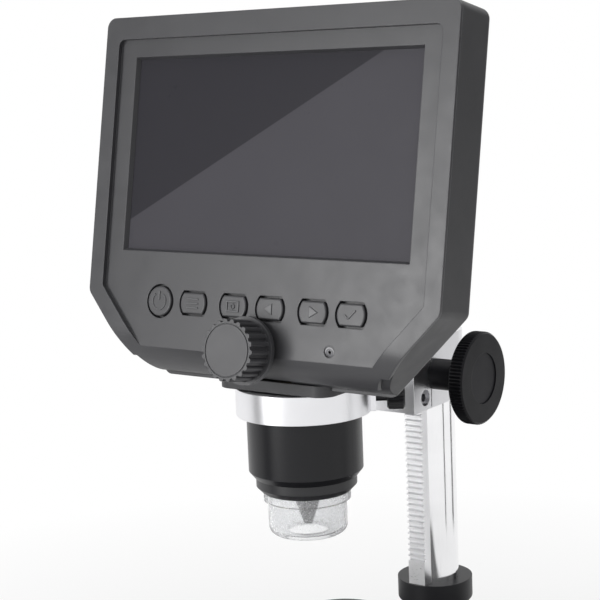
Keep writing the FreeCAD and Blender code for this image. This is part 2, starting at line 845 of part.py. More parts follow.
def cover_screws():
    screws = []
    seat_low = cover_screw_seat_depth - cover_screw_head_height - 0.1
    reach = cover_screw_head_radius * 0.62
    narrow = cover_screw_head_radius * 0.12
    for u, v in cover_screw_places():
        head = rod(cover_screw_head_radius, cover_screw_head_height, Vector(u, v, case_back + seat_low))
        slot_top = case_back + seat_low + cover_screw_head_height / 2
        slot = block(u - reach, u + reach, v - narrow, v + narrow, case_back + seat_low, slot_top)
        cross = block(u - narrow, u + narrow, v - reach, v + reach, case_back + seat_low, slot_top)
        shank_start = case_back + seat_low + cover_screw_head_height
        shank = rod(cover_screw_radius, cover_screw_length, Vector(u, v, shank_start))
        screws.append(to_panel(head.cut(slot).cut(cross).fuse(shank).removeSplitter()))
    return Part.makeCompound(screws)


def window_opening():
    """The window with its sloping edge, cut through the front."""
    half_u, half_v = window_width / 2, window_height / 2
    straight = block(-half_u, half_u, -half_v, half_v, -20, case_front + 1)
    low = [Vector(x, y, 0) for x, y in ((-half_u, -half_v), (half_u, -half_v), (half_u, half_v), (-half_u, half_v))]
    grow = window_bevel / recess_depth
    rise = recess_depth + 1.0
    high = [Vector(p.x + math.copysign(grow * rise, p.x), p.y + math.copysign(grow * rise, p.y), rise)
            for p in low]
    slope = Part.makeLoft([Part.makePolygon(low + [low[0]]), Part.makePolygon(high + [high[0]])], True, True)
    return straight.fuse(slope)


def pill(u, v, radius, half_height, low, high):
    """A button's shape: a round with a flat top and bottom."""
    body = rod(radius, high - low, Vector(u, v, low))
    flats = block(u - radius, u + radius, v - half_height, v + half_height, low, high)
    return body.common(flats)


def front_bezel():
    outer = case_plate(0, case_back, case_front, case_corner_radius).common(chin_solid(0))
    recess_floor = case_front - recess_depth
    recess = case_plate(border_width, recess_floor, case_front + 1, 2.0, border_top_width)
    bottom_way = block(-case_bottom_half_width + 2.0, case_bottom_half_width - 2.0, case_bottom - 2, -45.0,
                       recess_floor, case_front + 1)
    body = outer.cut(recess).cut(bottom_way.common(case_plate(border_width * 0.2, recess_floor, 9, 1)))
    core = chin_solid(recess_depth + bezel_thickness)
    body = body.cut(core)
    body = body.cut(wall_band())
    body = body.cut(case_plate(0, case_back - 1, case_front - recess_depth - bezel_thickness, 0.5)
                    .cut(case_plate(case_wall, case_back - 2, case_front, 0.5)))
    body = body.cut(window_opening())
    wide = button_gap
    body = body.cut(rod(power_button_radius + wide, 9, Vector(power_button_u, button_row_v, -4)))
    for u in pill_places_u:
        body = body.cut(pill(u, button_row_v, pill_radius + wide, pill_half_height + wide, -4, 5))
    body = body.cut(rod(light_radius, 9, Vector(light_u, light_v, -4)))
    body = body.cut(rod(focus_bush_radius, 12, Vector(0, focus_v, -6)))
    flange_front = case_front - recess_depth - focus_bush_length
    body = body.cut(rod(focus_bush_flange_radius + seat_gap, 8.0, Vector(0, focus_v, flange_front - 8.0)))
    for u, v in cover_screw_places():
        post = rod(cover_post_radius, case_front - recess_depth - bezel_thickness + 8.0, Vector(u, v, -8.0))
        pilot = rod(cover_screw_radius, cover_screw_length, Vector(u, v, -8.0))
        body = body.fuse(post).cut(pilot)
    body = to_panel(body.removeSplitter())
    body = body.cut(rod(barrel_neck_radius + seat_gap, 20.0, Vector(0, lens_y, neck_bottom - 5.0)))
    return body.cut(focus_room()).cut(neck_plate())


def focus_room():
    """The room that the casing leaves round the focus rack and pinion."""
    left = -focus_pitch_radius - focus_pinion_addendum - 2 * body_gap
    right = focus_pitch_radius + focus_rack_depth + 2 * body_gap
    return block(left, right, focus_rack_front_y - body_gap, lens_y, focus_rack_bottom - 1.0, focus_rack_top + 8)


def screen_glass():
    half_u, half_v = window_width / 2, window_height / 2
    return to_panel(block(-half_u, half_u, -half_v, half_v, -glass_thickness, 0))


def lcd_panel():
    back = -glass_thickness - lcd_thickness
    return to_panel(block(-lcd_width / 2, lcd_width / 2, -lcd_height / 2, lcd_height / 2, back, -glass_thickness))


def lcd_frame():
    front = -glass_thickness - lcd_thickness
    half_u, half_v = lcd_width / 2 + 1.0, lcd_height / 2 + 0.9
    tray = block(-half_u, half_u, -half_v, half_v, front - lcd_frame_thickness, front + 1.6)
    return to_panel(tray.cut(block(-lcd_width / 2, lcd_width / 2, -lcd_height / 2, lcd_height / 2, front, 5)))


def main_board_front_w():
    return -glass_thickness - lcd_thickness - lcd_frame_thickness - 0.4


def main_board():
    front = main_board_front_w()
    half_u = main_board_width / 2
    board = block(-half_u, half_u, -main_board_height / 2, main_board_height / 2, front - board_thickness, front)
    for u, v, size in ((26.0, 6.0, 12.0), (16.0, 18.0, 7.0), (28.0, -14.0, 8.0)):
        chip = block(u - size / 2, u + size / 2, v - size / 2, v + size / 2,
                     front - board_thickness - 1.0, front - board_thickness)
        board = board.fuse(chip)
    return to_panel(board.removeSplitter())


def battery():
    front = main_board_front_w() - board_thickness - 0.3
    u0 = -main_board_width / 2 + 4.0
    v0 = -battery_height / 2 + 6.0
    cell = block(u0, u0 + battery_width, v0, v0 + battery_height, front - battery_thickness, front)
    side_edges = [edge for edge in cell.Edges if abs(edge.BoundBox.XMax - edge.BoundBox.XMin) > 1.0
                  and edge.BoundBox.YMax - edge.BoundBox.YMin < 0.1]
    return to_panel(cell.makeFillet(battery_thickness * 0.45, side_edges))


def socket_blocks(extra):
    """The three sockets on the left side, or the openings round them."""
    back = main_board_front_w() - board_thickness
    left = -case_half_width
    inner = left + socket_reach
    blocks = []
    for v, height, thickness in (usb_socket_size, power_socket_size, card_socket_size):
        blocks.append(block(left - 2 * extra, inner + extra,
                            v - height / 2 - extra, v + height / 2 + extra,
                            back - thickness - extra, back + extra))
    return blocks


def socket_part(number, mouth_height, mouth_thickness, depth):
    outer = socket_blocks(0)[number]
    box = outer.BoundBox
    outer = block(box.XMin + 0.4, box.XMax, box.YMin, box.YMax, box.ZMin, box.ZMax)
    middle = box.Center
    mouth = block(box.XMin, box.XMin + depth, middle.y - mouth_height / 2, middle.y + mouth_height / 2,
                  middle.z - mouth_thickness / 2, middle.z + mouth_thickness / 2)
    return to_panel(outer.cut(mouth))


def button_board():
    half_u = button_board_width / 2
    half_v = button_board_height / 2
    low_v = button_row_v - half_v
    board = block(-half_u, half_u, low_v, button_row_v + half_v, button_board_w - board_thickness, button_board_w)
    notch_left = focus_pitch_radius - focus_rack_addendum - rack_notch_gap
    notch_right = notch_left + focus_rack_depth + 2 * rack_notch_gap
    notch = block(notch_left, notch_right, low_v - 1.0, low_v + rack_notch_height,
                  button_board_w - 2 * board_thickness, button_board_w + 1.0)
    return to_panel(board.cut(notch))


def tact_switches():
    switches = []
    for u in (power_button_u,) + pill_places_u:
        half = switch_size / 2
        case = block(u - half, u + half, button_row_v - half, button_row_v + half,
                     button_board_w, button_board_w + switch_height)
        plunger = rod(switch_size * 0.3, 0.4, Vector(u, button_row_v, button_board_w + switch_height))
        switches.append(to_panel(case.fuse(plunger).removeSplitter()))
    return Part.makeCompound(switches)


def button_cap(u, radius, half_height):
    """A button with its flange behind the front and a rounded face edge."""
    floor = case_front - recess_depth - bezel_thickness
    back = floor - button_float
    body = pill(u, button_row_v, radius, half_height, back, button_face_w)
    top_edges = [edge for edge in body.Edges if edge.BoundBox.ZMin > button_face_w - 0.01]
    body = body.makeFillet(0.45, top_edges)
    flange = pill(u, button_row_v, radius + button_flange, half_height + button_flange,
                  back - button_flange_thickness, back)
    return to_panel(body.fuse(flange).removeSplitter())


def charge_light():
    pipe = rod(light_radius, 3.6, Vector(light_u, light_v, -2.0))
    pipe = pipe.common(chin_solid(recess_depth - 0.1))
    return to_panel(pipe.cut(rod(light_dot_radius, 8, Vector(light_u, light_v, 0))))


# Focus drive


def focus_bush():
    floor = case_front - recess_depth
    bush = rod(focus_bush_radius, focus_bush_length, Vector(0, focus_v, floor - focus_bush_length))
    flange = rod(focus_bush_flange_radius, 1.0, Vector(0, focus_v, floor - focus_bush_length - 1.0))
    bore = rod(focus_shaft_radius + shaft_clearance, 20, Vector(0, focus_v, floor - 12))
    return to_panel(bush.fuse(flange).cut(bore).removeSplitter())


def focus_knob():
    length = focus_knob_face_w - focus_knob_base_w
    body = rod(focus_knob_radius - focus_rib_radius, length, Vector(0, focus_v, focus_knob_base_w))
    for index in range(focus_ribs):
        angle = 2 * math.pi * index / focus_ribs
        reach = focus_knob_radius - focus_rib_radius
        place = Vector(reach * math.cos(angle), focus_v + reach * math.sin(angle), focus_knob_base_w)
        body = body.fuse(rod(focus_rib_radius, length, place))
    skirt = rod(focus_skirt_radius, focus_skirt_thickness, Vector(0, focus_v, focus_knob_base_w))
    body = body.fuse(skirt).removeSplitter()
    groove_start = Vector(0, focus_v, focus_knob_face_w - focus_groove_depth)
    groove = rod(focus_groove_radius + focus_groove_width, 1, groove_start)
    groove = groove.cut(rod(focus_groove_radius, 1, groove_start))
    body = body.cut(groove)
    return to_panel(body.cut(rod(focus_shaft_radius, length - 2.0, Vector(0, focus_v, focus_knob_base_w))))


def focus_shaft():
    end = focus_knob_face_w - 2.0
    shaft = rod(focus_shaft_radius, end - focus_gear_back_w, Vector(0, focus_v, focus_gear_back_w))
    root_depth = focus_rack_addendum + tooth_root_gap
    teeth = gear(focus_module, focus_teeth, focus_pinion_addendum, root_depth, 0.0,
                 focus_gear_front_w - focus_gear_back_w)
    teeth.translate(Vector(0, focus_v, focus_gear_back_w))
    return to_panel(shaft.fuse(teeth).removeSplitter())


def focus_rack():
    tip_x = focus_pitch_radius - focus_rack_addendum
    back_y = lens_y - math.sqrt(carrier_radius ** 2 - (tip_x + focus_rack_depth) ** 2) + 1.2
    bar = block(tip_x, tip_x + focus_rack_depth, focus_rack_front_y, back_y, focus_rack_bottom, focus_rack_top)
    corners = rack_groove(focus_module, focus_rack_addendum, focus_pinion_addendum)
    grooves = []
    reach = int((focus_rack_top - focus_rack_bottom) / focus_pitch) + 2
    for index in range(-reach, reach + 1):
        points = [Vector(tip_x + deep, focus_v + index * focus_pitch + across, -60) for across, deep in corners]
        face = Part.Face(Part.makePolygon(points + [points[0]]))
        grooves.append(to_panel(face.extrude(Vector(0, 0, 90))))
    bar = bar.cut(Part.makeCompound(grooves))
    return bar.cut(rod(carrier_radius, 200, Vector(0, lens_y, 0)))


def lens_carrier():
    outer = rod(carrier_radius, carrier_top - carrier_bottom, Vector(0, lens_y, carrier_bottom))
    inner_low = carrier_bottom + carrier_floor
    hollow = rod(carrier_radius - carrier_wall, carrier_top - inner_low, Vector(0, lens_y, inner_low))
    body = outer.cut(hollow)
    return body.cut(rod(nose_top_radius, carrier_floor, Vector(0, lens_y, carrier_bottom)))


def lens_nose():
    top = carrier_bottom + carrier_floor
    spigot = rod(nose_top_radius, top - nose_shoulder_height, Vector(0, lens_y, nose_shoulder_height))
    length = nose_shoulder_height - nose_tip_height
    taper = cone(nose_tip_radius, nose_top_radius, length, Vector(0, lens_y, nose_tip_height))
    return spigot.fuse(taper).cut(rod(nose_bore_radius, 60, Vector(0, lens_y, nose_tip_height))).removeSplitter()


def front_lens():
    start = Vector(0, lens_y, carrier_bottom + carrier_floor)
    return rod(front_lens_radius, front_lens_thickness, start)


def rear_lens():
    radius = carrier_radius - carrier_wall
    disc = rod(radius, rear_lens_thickness, Vector(0, lens_y, rear_lens_height))
    ball_radius = 30.0
    ball = Part.makeSphere(ball_radius, Vector(0, lens_y, rear_lens_height + rear_lens_thickness - ball_radius))
    return disc.common(ball)


def lens_barrel():
    centre = Vector(0, lens_y, 0)
    body = rod(barrel_radius, ring_top - barrel_straight_bottom, centre + Vector(0, 0, barrel_straight_bottom))
    neck = rod(barrel_neck_radius, barrel_top - ring_top, centre + Vector(0, 0, ring_top))
    taper = cone(barrel_bottom_radius, barrel_radius, barrel_straight_bottom - barrel_bottom,
                 centre + Vector(0, 0, barrel_bottom))
    flange_start = neck_top
    flange = rod(barrel_flange_radius, barrel_flange_thickness, centre + Vector(0, 0, flange_start))
    flange = flange.cut(block(-30, 30, lens_y - 40, lens_y - 11.0, neck_bottom, barrel_top))
    body = body.fuse([taper, flange, neck]).removeSplitter()
    body = body.cut(rod(carrier_radius + running_gap, 60, centre + Vector(0, 0, barrel_bottom)))
    room_low = focus_rack_bottom - 1.0
    room = block(-focus_pitch_radius - 2.0, focus_pitch_radius + focus_rack_depth + 1.0,
                 lens_y - 30, lens_y - 7.0, room_low, barrel_top)
    return body.cut(room)


def nose_ring():
    taper = cone(nose_ring_bottom_radius, nose_ring_top_radius, nose_ring_shoulder - nose_ring_bottom,
                 Vector(0, lens_y, nose_ring_bottom))
    band = rod(nose_ring_top_radius, barrel_bottom - nose_ring_shoulder, Vector(0, lens_y, nose_ring_shoulder))
    hollow = rod(nose_ring_bottom_radius - 1.2, barrel_bottom - nose_ring_bottom,
                 Vector(0, lens_y, nose_ring_bottom))
    return taper.fuse(band).cut(hollow).removeSplitter()


def lamp_board():
    radius = nose_ring_bottom_radius - 1.2
    board = rod(radius, lamp_board_thickness, Vector(0, lens_y, lamp_board_bottom))
    return board.cut(rod(lamp_board_hole_radius, 5, Vector(0, lens_y, lamp_board_bottom - 1)))


def lamps():
    solids = []
    for index in range(lamp_count):
        angle = 2 * math.pi * (index + 0.5) / lamp_count
        half = lamp_size / 2
        lamp = block(-half, half, -half, half, lamp_board_bottom - lamp_height, lamp_board_bottom)
        lamp.translate(Vector(lamp_circle_radius, 0, 0))
        lamp.rotate(Vector(0, 0, 0), Vector(0, 0, 1), math.degrees(angle))
        lamp.translate(Vector(0, lens_y, 0))
        solids.append(lamp)
    return Part.makeCompound(solids)


def clear_cap():
    top = nose_ring_bottom
    centre = Vector(0, lens_y, 0)
    flange = rod(cap_flange_radius, cap_flange_height, centre + Vector(0, 0, top - cap_flange_height))
    body = rod(cap_radius, top - cap_bottom, centre + Vector(0, 0, cap_bottom))
    low_edges = [edge for edge in body.Edges if edge.BoundBox.ZMax < cap_bottom + 0.01]
    body = body.makeFillet(cap_round, low_edges)
    inner = rod(cap_radius - cap_wall, top - cap_bottom - cap_wall, centre + Vector(0, 0, cap_bottom + cap_wall))
    inner_edges = [edge for edge in inner.Edges if edge.BoundBox.ZMax < cap_bottom + cap_wall + 0.01]
    inner = inner.makeFillet(cap_round - cap_wall, inner_edges)
    mouth = rod(cap_mouth_radius, cap_wall * 2, centre + Vector(0, 0, cap_bottom))
    return body.fuse(flange).cut(inner).cut(mouth).removeSplitter()


def camera_board():
    half = camera_board_size / 2
    return block(-half, half, lens_y - half, lens_y + half, camera_board_height,
                 camera_board_height + board_thickness)


def image_sensor():
    half = sensor_size / 2
    return block(-half, half, lens_y - half, lens_y + half, camera_board_height - sensor_height,
                 camera_board_height)


parts = {
    "base_plate": base_plate,
    "base_pad": base_pad,
    "foot_bolt": foot_bolt,
    "column_foot": column_foot,
    "column_tube": column_tube,
    "rack_bar": rack_bar,
    "column_cap": column_cap,
    "carriage_body": carriage_body,
    "carriage_block": carriage_block,
    "side_screws": side_screws,
    "pinion_bush": pinion_bush,
    "clamp_ring": clamp_ring,
    "arm_screws": arm_screws,
    "height_knob": height_knob,
    "knob_disc": knob_disc,
    "pinion_shaft": pinion_shaft,
    "thumb_screw": thumb_screw,
    "front_bezel": front_bezel,
    "rear_cover": rear_cover,
    "rear_housing": rear_housing,
    "cover_screws": cover_screws,
    "screen_glass": screen_glass,
    "lcd_panel": lcd_panel,
    "lcd_frame": lcd_frame,
    "main_board": main_board,
    "battery": battery,
    "usb_socket": lambda: socket_part(0, 6.8, 1.6, 6.0),
    "power_socket": lambda: socket_part(1, 3.6, 3.4, 8.0),
    "card_socket": lambda: socket_part(2, 11.4, 1.0, 10.0),
    "button_board": button_board,
    "tact_switches": tact_switches,
    "charge_light": charge_light,
    "power_button": lambda: button_cap(power_button_u, power_button_radius, power_button_radius),
    "focus_bush": focus_bush,
    "focus_knob": focus_knob,
    "focus_shaft": focus_shaft,
    "focus_rack": focus_rack,
    "lens_carrier": lens_carrier,
    "lens_nose": lens_nose,
    "front_lens": front_lens,
    "rear_lens": rear_lens,
    "lens_barrel": lens_barrel,
    "nose_ring": nose_ring,
    "lamp_board": lamp_board,
    "lamps": lamps,
    "clear_cap": clear_cap,
    "camera_board": camera_board,
    "image_sensor": image_sensor,
}

os.makedirs("parts", exist_ok=True)
shapes = {name: make() for name, make in parts.items()}
for name, place_u in zip(pill_names, pill_places_u):
    shapes[name] = button_cap(place_u, pill_radius, pill_half_height)
for name, shape in shapes.items():
    shape.exportStep("parts/" + name + ".step")
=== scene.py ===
import math

import bpy
from bpy.props import FloatProperty, FloatVectorProperty, PointerProperty
from bpy.types import Operator, Panel, PropertyGroup
from mathutils import Matrix, Vector


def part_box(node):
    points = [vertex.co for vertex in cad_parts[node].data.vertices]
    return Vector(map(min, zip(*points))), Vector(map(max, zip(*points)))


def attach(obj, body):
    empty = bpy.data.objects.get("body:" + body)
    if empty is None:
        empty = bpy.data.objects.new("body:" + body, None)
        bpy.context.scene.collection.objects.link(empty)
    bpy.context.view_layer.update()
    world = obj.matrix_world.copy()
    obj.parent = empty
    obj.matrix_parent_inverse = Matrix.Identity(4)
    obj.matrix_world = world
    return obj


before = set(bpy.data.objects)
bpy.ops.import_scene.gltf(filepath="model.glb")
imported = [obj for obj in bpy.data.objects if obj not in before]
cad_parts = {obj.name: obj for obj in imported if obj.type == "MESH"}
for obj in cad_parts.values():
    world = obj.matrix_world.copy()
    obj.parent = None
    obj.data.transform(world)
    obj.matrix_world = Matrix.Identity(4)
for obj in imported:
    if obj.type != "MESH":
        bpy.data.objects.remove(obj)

bl_info = {
    "name": "LCD Digital Microscope",
    "version": (1, 0, 0),
    "blender": (4, 5, 0),
    "location": "View3D > Sidebar > Microscope",
    "description": "Finishes and small pieces of a desk microscope with a tilted screen",
    "category": "Object",
}

MILLIMETRE = 0.001
PANEL_TILT = math.radians(11.0)
ACROSS = Vector((1.0, 0.0, 0.0))
UP_PANEL = Vector((0.0, math.sin(PANEL_TILT), math.cos(PANEL_TILT)))
OUT_OF_PANEL = Vector((0.0, -math.cos(PANEL_TILT), math.sin(PANEL_TILT)))
WINDOW_MIDDLE = Vector((0.0, -0.0250, 0.1755))
BUTTONS = ("power_button", "menu_button", "mode_button", "left_button", "right_button", "ok_button")

# The screen's painted reflection ends at a slanting line, which joins two points given across and up the
# panel from the window's middle.
PAINTED_REFLECTION_TOP_ACROSS = 35.8 * MILLIMETRE
PAINTED_REFLECTION_TOP_UP = 27.7 * MILLIMETRE
PAINTED_REFLECTION_LOW_ACROSS = -47.3 * MILLIMETRE
PAINTED_REFLECTION_LOW_UP = -18.6 * MILLIMETRE
PAINTED_REFLECTION_SOFTNESS = 0.15 * MILLIMETRE

CHARGE_LIGHT_RADIUS = 1.6 * MILLIMETRE
# Each ring of the charge light: its share of the radius, and its colour.
CHARGE_LIGHT_RINGS = (
    (0.24, (0.01, 0.01, 0.01)),
    (0.30, (0.20, 0.20, 0.21)),
    (0.72, (0.15, 0.15, 0.16)),
    (0.80, (0.42, 0.42, 0.43)),
    (0.93, (0.30, 0.30, 0.31)),
)

POWER_RING_RADIUS = 2.4 * MILLIMETRE
POWER_RING_GAP = math.radians(70)
POWER_BAR_LENGTH = 2.6 * MILLIMETRE
POWER_BAR_RISE = 1.6 * MILLIMETRE
MENU_BAR_LENGTH = 4.2 * MILLIMETRE
MENU_BAR_STEP = 1.25 * MILLIMETRE
MODE_FRAME_WIDTH = 4.4 * MILLIMETRE
MODE_FRAME_RISE = 1.35 * MILLIMETRE
MODE_SIDE_LENGTH = 2.7 * MILLIMETRE
MODE_SIDE_OFFSET = 2.0 * MILLIMETRE
MODE_RING_RADIUS = 0.62 * MILLIMETRE
MODE_RING_STROKE_SHARE = 0.9
ARROW_RADIUS = 1.9 * MILLIMETRE
TICK_TURN = math.radians(45)
# Each stroke of the tick: its length, and its middle across and up.
TICK_SHORT = (1.5 * MILLIMETRE, -1.25 * MILLIMETRE, -0.55 * MILLIMETRE)
TICK_LONG = (3.4 * MILLIMETRE, 0.45 * MILLIMETRE, 0.10 * MILLIMETRE)

FLOOR_DROP = 0.2 * MILLIMETRE
# The floor is partly white by the object, and turns all white between two distances from the origin.
FLOOR_WHITE_NEAR = 0.70
FLOOR_FADE_START = 0.10
FLOOR_FADE_END = 0.26
# How strongly the white backdrop lights matt surfaces.
BACKDROP_LIGHT = 0.42
LAMP_AIM = (0.0, 0.0, 0.13)
CARD_COLOUR = (0.05, 0.05, 0.052)
COLUMN_MIDDLE = Vector((0.0, 0.0589, 0.0))
# Each card: name, first and last angle round the column, distance, lower and upper edge.
CARDS = (
    ("front_left_card", -150.0, -131.0, 0.95, -0.05, 0.70),
    ("back_right_card", 38.0, 72.0, 0.95, -0.05, 0.70),
    ("tube_left_card", -119.0, -107.0, 0.16, -0.08, 0.11),
    ("tube_right_card", -1.0, 4.0, 0.16, -0.08, 0.11),
    ("tube_edge_card", 43.0, 48.0, 0.16, -0.08, 0.11),
)
CAMERA_PLACE = (0.25621, -0.37064, 0.20185)
CAMERA_ANGLES = (81.084, 2.314, 35.202)
SENSOR_WIDTH = 36.0

# Sockets of the Mix node that carry colours, and the middle stretch of a noise's values.
MIX_FIRST = 6
MIX_SECOND = 7
MIX_RESULT = 2
NOISE_LOW = 0.25
NOISE_HIGH = 0.75


class MicroscopeSizes(PropertyGroup):
    """Sizes that a user would change."""

    symbol_height: FloatProperty(
        name="Symbol height", description="How far a button's symbol stands out of its face",
        default=0.30 * MILLIMETRE, unit="LENGTH")
    symbol_stroke: FloatProperty(
        name="Symbol stroke", description="Width of the lines of a button's symbol",
        default=0.52 * MILLIMETRE, unit="LENGTH")
    lens: FloatProperty(
        name="Lens", description="Focal length of the camera in millimetres", default=93.0)
    floor_reach: FloatProperty(
        name="Floor reach", description="Half the width of the floor", default=3.0, unit="LENGTH")


class MicroscopeColours(PropertyGroup):
    """Colours that a user would change."""

    casing: FloatVectorProperty(
        name="Casing", description="Moulded plastic of the casing", subtype="COLOR", size=3,
        default=(0.047, 0.047, 0.051))
    knobs: FloatVectorProperty(
        name="Knobs", description="Plastic of the height knob and its bush", subtype="COLOR", size=3,
        default=(0.008, 0.008, 0.010))
    bright_metal: FloatVectorProperty(
        name="Bright metal", description="Aluminium and plated steel", subtype="COLOR", size=3,
        default=(0.90, 0.90, 0.91))
    black_metal: FloatVectorProperty(
        name="Black metal", description="Anodised barrel, foot and screw", subtype="COLOR", size=3,
        default=(0.010, 0.010, 0.012))
    screen_dark: FloatVectorProperty(
        name="Screen", description="The dark part of the screen", subtype="COLOR", size=3,
        default=(0.036, 0.035, 0.041))
    # The screen's lighter corner is a painted reflection.
    screen_painted_reflection: FloatVectorProperty(
        name="Screen sheen", description="The lighter corner of the screen", subtype="COLOR", size=3,
        default=(0.068, 0.066, 0.075))
    floor: FloatVectorProperty(
        name="Floor", description="The floor's own colour", subtype="COLOR", size=3,
        default=(0.88, 0.88, 0.88))


def sizes():
    return bpy.context.scene.microscope_sizes


def colours():
    return bpy.context.scene.microscope_colours


# Materials


class Nodes:
    """A material's node tree, with short calls that add and join nodes."""

    def __init__(self, name):
        self.material = bpy.data.materials.new(name)
        self.material.use_nodes = True
        self.tree = self.material.node_tree
        self.tree.nodes.clear()
        self.output = self.add("ShaderNodeOutputMaterial")
        self.place = self.add("ShaderNodeTexCoord").outputs["Object"]

    def add(self, kind, **settings):
        node = self.tree.nodes.new(kind)
        for key, value in settings.items():
            setattr(node, key, value)
        return node

    def join(self, source, target):
        self.tree.links.new(source, target)

    def shader(self, colour, roughness, metallic=0.0):
        node = self.add("ShaderNodeBsdfPrincipled")
        node.inputs["Base Color"].default_value = (*colour, 1.0)
        node.inputs["Roughness"].default_value = roughness
        node.inputs["Metallic"].default_value = metallic
        self.join(node.outputs["BSDF"], self.output.inputs["Surface"])
        return node

    def noise(self, scale, detail=3.0, stretch=None):
        node = self.add("ShaderNodeTexNoise")
        node.inputs["Scale"].default_value = scale
        node.inputs["Detail"].default_value = detail
        place = self.place
        if stretch is not None:
            mapping = self.add("ShaderNodeMapping")
            mapping.inputs["Scale"].default_value = stretch
            self.join(self.place, mapping.inputs["Vector"])
            place = mapping.outputs["Vector"]
        self.join(place, node.inputs["Vector"])
        return node.outputs["Fac"]

    def spread(self, value, low, high):
        """A noise's middle values carried to another range."""
        node = self.add("ShaderNodeMapRange")
        node.inputs["From Min"].default_value = NOISE_LOW
        node.inputs["From Max"].default_value = NOISE_HIGH
        node.inputs["To Min"].default_value = low
        node.inputs["To Max"].default_value = high
        self.join(value, node.inputs["Value"])
        return node.outputs["Result"]

    def mix(self, factor, first, second):
        """A colour between two, which may be sockets or plain colours."""
        node = self.add("ShaderNodeMix", data_type="RGBA")
        self.join(factor, node.inputs["Factor"])
        for socket, colour in ((node.inputs[MIX_FIRST], first), (node.inputs[MIX_SECOND], second)):
            if isinstance(colour, bpy.types.NodeSocket):
                self.join(colour, socket)
            else:
                socket.default_value = (*colour, 1.0)
        return node.outputs[MIX_RESULT]

    def rounded(self, radius):
        """A normal that rounds sharp edges by a radius."""
        node = self.add("ShaderNodeBevel", samples=4)
        node.inputs["Radius"].default_value = radius
        return node.outputs["Normal"]

    def edges(self, radius, sharpness):
        """1 on sharp edges and 0 on faces."""
        geometry = self.add("ShaderNodeNewGeometry")
        dot = self.add("ShaderNodeVectorMath", operation="DOT_PRODUCT")
        self.join(self.rounded(radius), dot.inputs[0])
        self.join(geometry.outputs["Normal"], dot.inputs[1])
        ramp = self.add("ShaderNodeMapRange")
        ramp.inputs["From Min"].default_value = 1.0
        ramp.inputs["From Max"].default_value = 1.0 - sharpness
        self.join(dot.outputs["Value"], ramp.inputs["Value"])
        return ramp.outputs["Result"]

    def bump(self, height, distance, strength, normal):
        node = self.add("ShaderNodeBump")
        node.inputs["Distance"].default_value = distance
        node.inputs["Strength"].default_value = strength
        self.join(height, node.inputs["Height"])
        self.join(normal, node.inputs["Normal"])
        return node.outputs["Normal"]


def shade(colour, factor):
    return tuple(min(1.0, channel * factor) for channel in colour)


def moulded_plastic(name, colour, roughness, grain=0.35, depth=0.012, edge=0.25, edge_lightening=0.35, shine=0.5):
    """Plastic with a fine grain, clouded colour and lighter edges, partly wear and partly a painted
    highlight.

    The grain, its depth and the edge's radius are in millimetres.
    """
    nodes = Nodes(name)
    shader = nodes.shader(colour, roughness)
    shader.inputs["Specular IOR Level"].default_value = shine
    clouds = nodes.noise(45.0, 4.0)
    body = nodes.mix(nodes.spread(clouds, 0.0, 1.0), shade(colour, 0.90), shade(colour, 1.10))
    # Edges are painted lighter: partly wear, partly a painted highlight.
    edge_wear_and_highlight = nodes.add("ShaderNodeMath", operation="MULTIPLY")
    nodes.join(nodes.edges(edge * MILLIMETRE, 0.35), edge_wear_and_highlight.inputs[0])
    edge_wear_and_highlight.inputs[1].default_value = edge_lightening
    final = nodes.mix(edge_wear_and_highlight.outputs["Value"], body, shade(colour, 2.2))
    nodes.join(final, shader.inputs["Base Color"])
    grain_noise = nodes.noise(1.0 / (grain * MILLIMETRE), 2.0)
    gloss = nodes.spread(nodes.noise(160.0), roughness - 0.05, roughness + 0.06)
    nodes.join(gloss, shader.inputs["Roughness"])
    normal = nodes.bump(grain_noise, depth * MILLIMETRE, 0.6, nodes.rounded(edge * MILLIMETRE))
    nodes.join(normal, shader.inputs["Normal"])
    return nodes.material


def machined_metal(name, colour, roughness, lay=(1.0, 1.0, 14.0), mark=0.25, depth=0.004, edge=0.18):
    """Metal with fine tool marks, and edges painted brighter as a painted highlight.

    The marks lie closer together along an axis whose lay is larger. The size of a mark, its depth
    and the edge's radius are in millimetres.
    """
    nodes = Nodes(name)
    shader = nodes.shader(colour, roughness, 1.0)
    marks = nodes.noise(1.0 / (mark * MILLIMETRE), 4.0, lay)
    body = nodes.mix(nodes.spread(nodes.noise(60.0), 0.0, 1.0), shade(colour, 0.94), shade(colour, 1.04))
    # Edges are painted brighter: a painted highlight.
    final = nodes.mix(nodes.edges(edge * MILLIMETRE, 0.4), body, shade(colour, 1.25))
    nodes.join(final, shader.inputs["Base Color"])
    nodes.join(nodes.spread(marks, roughness - 0.04, roughness + 0.07), shader.inputs["Roughness"])
    normal = nodes.bump(marks, depth * MILLIMETRE, 0.5, nodes.rounded(edge * MILLIMETRE))
    nodes.join(normal, shader.inputs["Normal"])
    return nodes.material


def black_anodised(name, colour, roughness, edge=0.2):
    """Black anodised metal: a dark skin with turned marks, and edges wearing through towards the bare
    metal.

    The edge's radius is in millimetres.
    """
    nodes = Nodes(name)
    shader = nodes.shader(colour, roughness)
    shader.inputs["Specular IOR Level"].default_value = 0.3
    turned = nodes.noise(1.0 / (0.3 * MILLIMETRE), 3.0, (1.0, 1.0, 12.0))
    edge_lightening = nodes.add("ShaderNodeMath", operation="MULTIPLY")
    nodes.join(nodes.edges(edge * MILLIMETRE, 0.3), edge_lightening.inputs[0])
    nodes.join(nodes.spread(nodes.noise(900.0, 5.0), 0.0, 0.5), edge_lightening.inputs[1])
    nodes.join(nodes.mix(edge_lightening.outputs["Value"], colour, (0.16, 0.16, 0.17)), shader.inputs["Base Color"])
    nodes.join(nodes.spread(turned, roughness - 0.05, roughness + 0.08), shader.inputs["Roughness"])
    normal = nodes.bump(turned, 0.004 * MILLIMETRE, 0.5, nodes.rounded(edge * MILLIMETRE))
    nodes.join(normal, shader.inputs["Normal"])
    return nodes.material


